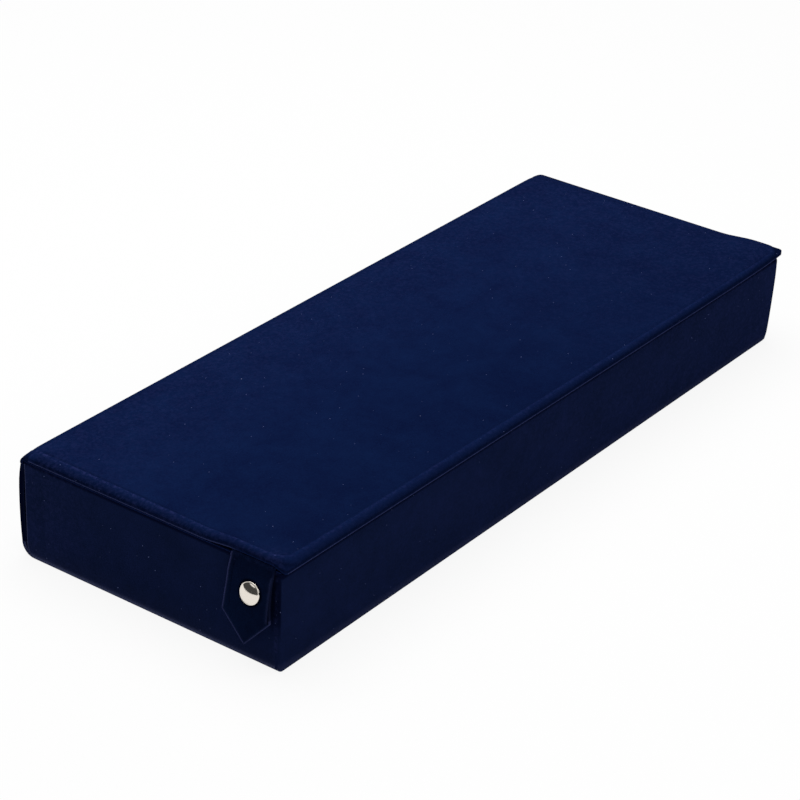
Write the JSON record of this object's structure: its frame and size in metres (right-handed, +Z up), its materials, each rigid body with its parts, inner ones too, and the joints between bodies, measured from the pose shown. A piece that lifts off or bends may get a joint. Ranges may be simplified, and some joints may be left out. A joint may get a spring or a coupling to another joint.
{
  "type": "sunglasses display box",
  "caption": "Long flat velvet box with a padded book-style lid held by snap straps and a divided inside for sunglasses.",
  "frame": {"origin": "centre of the underside, on the table", "axes": "+X along the case from the near end to the far end, -Y towards the side that opens, +Z up"},
  "size_m": [0.5086, 0.1862, 0.065],
  "materials": {
    "outer_velvet": "short flocked velvet",
    "strap_velvet": "pressed flocked velvet",
    "lining_velvet": "thin lining velvet",
    "greyboard": "uncoated grey board",
    "foam": "open-cell foam sheet",
    "nickel": "polished nickel plate"
  },
  "bodies": {
    "tray": {"base_velvet": "outer_velvet", "base_board": "greyboard", "floor_board": "greyboard", "front_wall_board": "greyboard", "rear_wall_board": "greyboard", "near_end_board": "greyboard", "far_end_board": "greyboard", "front_velvet": "outer_velvet", "rear_velvet": "outer_velvet", "near_end_velvet": "outer_velvet", "far_end_velvet": "outer_velvet", "wall_lining": "lining_velvet", "floor_pad": "lining_velvet", "lower_fold_cloth": "outer_velvet", "divider_board_1": "greyboard", "divider_board_2": "greyboard", "divider_board_3": "greyboard", "divider_board_4": "greyboard", "divider_board_5": "greyboard", "divider_board_6": "greyboard", "divider_board_7": "greyboard", "divider_velvet_1": "lining_velvet", "divider_velvet_2": "lining_velvet", "divider_velvet_3": "lining_velvet", "divider_velvet_4": "lining_velvet", "divider_velvet_5": "lining_velvet", "divider_velvet_6": "lining_velvet", "divider_velvet_7": "lining_velvet", "near_snap_stud": "nickel", "near_snap_post": "nickel", "far_snap_stud": "nickel", "far_snap_post": "nickel"},
    "spine": {"spine_board": "greyboard", "spine_velvet": "outer_velvet", "spine_lining": "lining_velvet", "upper_fold_cloth": "outer_velvet"},
    "lid": {"lid_lining": "lining_velvet", "lid_board": "greyboard", "lid_foam": "foam", "lid_velvet": "outer_velvet", "near_strap_tail": "strap_velvet", "far_strap_tail": "strap_velvet"},
    "near_strap": {"near_strap_back": "strap_velvet", "near_strap_core": "greyboard", "near_strap_face": "strap_velvet", "near_snap_cap": "nickel", "near_snap_socket": "nickel"},
    "far_strap": {"far_strap_back": "strap_velvet", "far_strap_core": "greyboard", "far_strap_face": "strap_velvet", "far_snap_cap": "nickel", "far_snap_socket": "nickel"}
  },
  "joints": [
    {"name": "spine_fold", "type": "hinge", "parent": "tray", "child": "spine", "pos_m": [0, 0.09023, 0.00182], "axis": [-1, 0, 0], "range_deg": [0, 90], "deforming": ["lower_fold_cloth"]},
    {"name": "lid_fold", "type": "hinge", "parent": "spine", "child": "lid", "pos_m": [0, 0.09055, 0.063], "axis": [-1, 0, 0], "range_deg": [0, 90], "deforming": ["upper_fold_cloth"]},
    {"name": "near_strap_fold", "type": "hinge", "parent": "lid", "child": "near_strap", "pos_m": [-0.2469, 0, 0.0598], "axis": [0, 1, 0], "range_deg": [0, 90]},
    {"name": "far_strap_fold", "type": "hinge", "parent": "lid", "child": "far_strap", "pos_m": [0.2469, 0, 0.0598], "axis": [0, -1, 0], "range_deg": [0, 90]}
  ]
}
